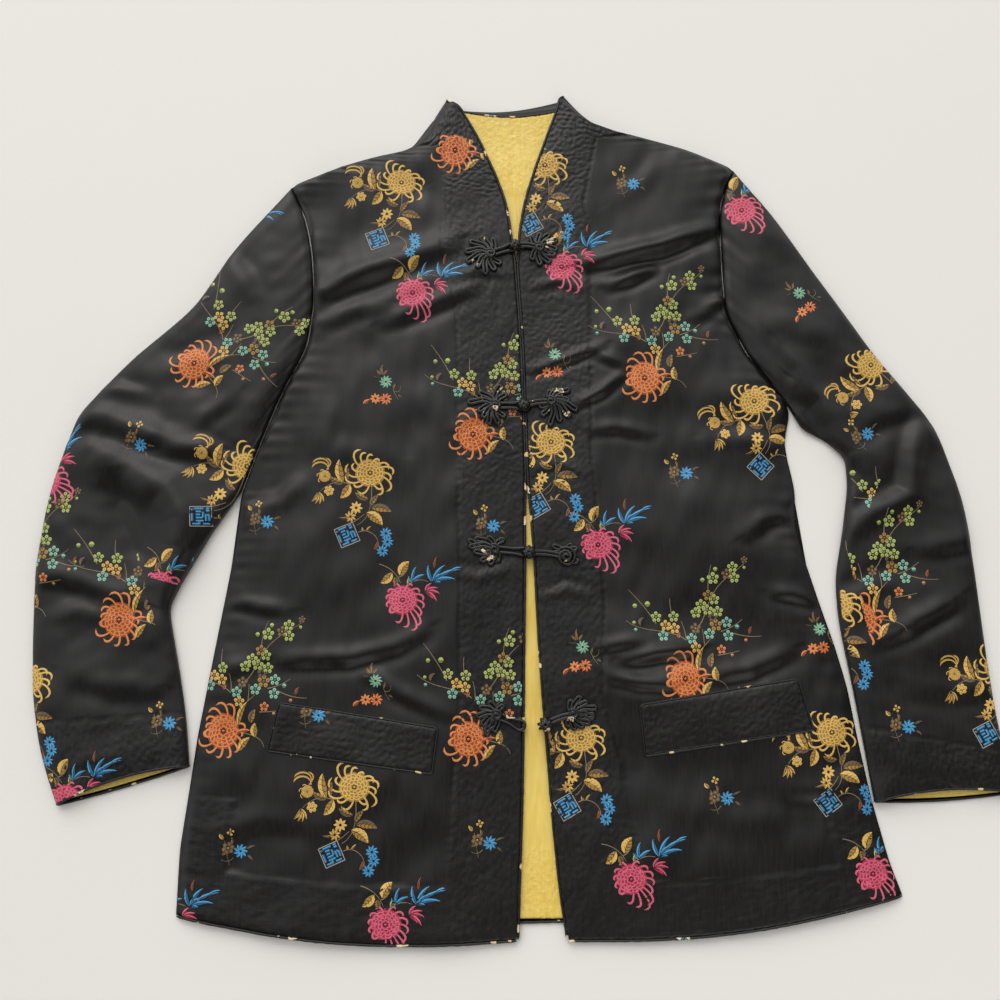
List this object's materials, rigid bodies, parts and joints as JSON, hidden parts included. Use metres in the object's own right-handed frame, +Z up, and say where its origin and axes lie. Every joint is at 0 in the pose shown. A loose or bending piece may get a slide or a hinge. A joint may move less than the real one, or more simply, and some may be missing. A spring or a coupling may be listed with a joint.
{
  "type": "tang jacket",
  "caption": "Lined silk brocade tang jacket laid flat, with a grown-on funnel collar, cord frogs, quilted bands and slanted welt pockets.",
  "frame": {"origin": "middle of the jacket's box, on the surface that it lies on", "axes": "+X to the wearer's left, +Y from hem to collar, +Z up from the surface"},
  "size_m": [0.8768, 0.7872, 0.0163],
  "materials": {
    "brocade": "satin",
    "lining": "satin",
    "piping": "satin",
    "frog_cord": "satin",
    "thread": "satin"
  },
  "bodies": {
    "root": {"right_front": "brocade", "left_front": "brocade", "back_panel": "brocade", "back_lining": "lining", "right_front_piping": "piping", "left_front_piping": "piping", "right_hem_piping": "piping", "left_hem_piping": "piping", "back_hem_piping": "piping", "back_collar_piping": "piping", "right_sleeve": "brocade", "right_cuff_piping": "piping", "right_cuff_under_piping": "piping", "right_cuff_lining": "lining", "right_welt": "brocade", "right_welt_piping": "piping", "left_sleeve": "brocade", "left_cuff_piping": "piping", "left_cuff_under_piping": "piping", "left_cuff_lining": "lining", "left_welt": "brocade", "left_welt_piping": "piping", "frog_1_right_flower": "frog_cord", "frog_1_left_flower": "frog_cord", "frog_1_knot": "frog_cord", "frog_1_stem": "frog_cord", "frog_1_loop": "frog_cord", "frog_2_right_flower": "frog_cord", "frog_2_left_flower": "frog_cord", "frog_2_knot": "frog_cord", "frog_2_stem": "frog_cord", "frog_2_loop": "frog_cord", "frog_3_right_flower": "frog_cord", "frog_3_left_flower": "frog_cord", "frog_3_knot": "frog_cord", "frog_3_stem": "frog_cord", "frog_3_loop": "frog_cord", "frog_4_right_flower": "frog_cord", "frog_4_left_flower": "frog_cord", "frog_4_knot": "frog_cord", "frog_4_stem": "frog_cord", "frog_4_loop": "frog_cord"}
  },
  "joints": []
}
